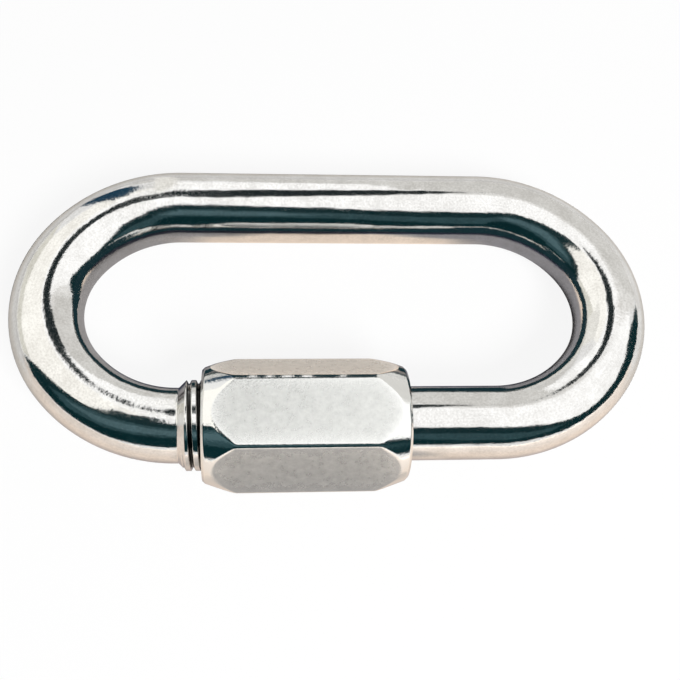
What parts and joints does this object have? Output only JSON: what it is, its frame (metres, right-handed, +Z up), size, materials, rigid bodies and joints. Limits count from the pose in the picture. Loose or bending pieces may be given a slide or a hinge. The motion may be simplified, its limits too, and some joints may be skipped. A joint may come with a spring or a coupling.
{
  "type": "chain quick link",
  "caption": "Oval chain quick link of round rod, closed by a hexagonal screw sleeve that runs along one side to open the mouth.",
  "frame": {"origin": "under the middle of the whole link, on the surface it lies on", "axes": "+X along the link, +Y across it from the sleeve to the plain bar, +Z up, off the surface it lies on"},
  "size_m": [0.089, 0.0471, 0.016],
  "materials": {
    "link_steel": "bright polished steel",
    "sleeve_steel": "satin steel"
  },
  "bodies": {
    "link": {"link_body": "link_steel"},
    "sleeve": {"hex_sleeve": "sleeve_steel"}
  },
  "joints": [
    {"name": "sleeve_travel", "type": "slide", "parent": "link", "child": "sleeve", "axis": [1, 0, 0], "range_m": [-0.00125, 0.015]}
  ]
}
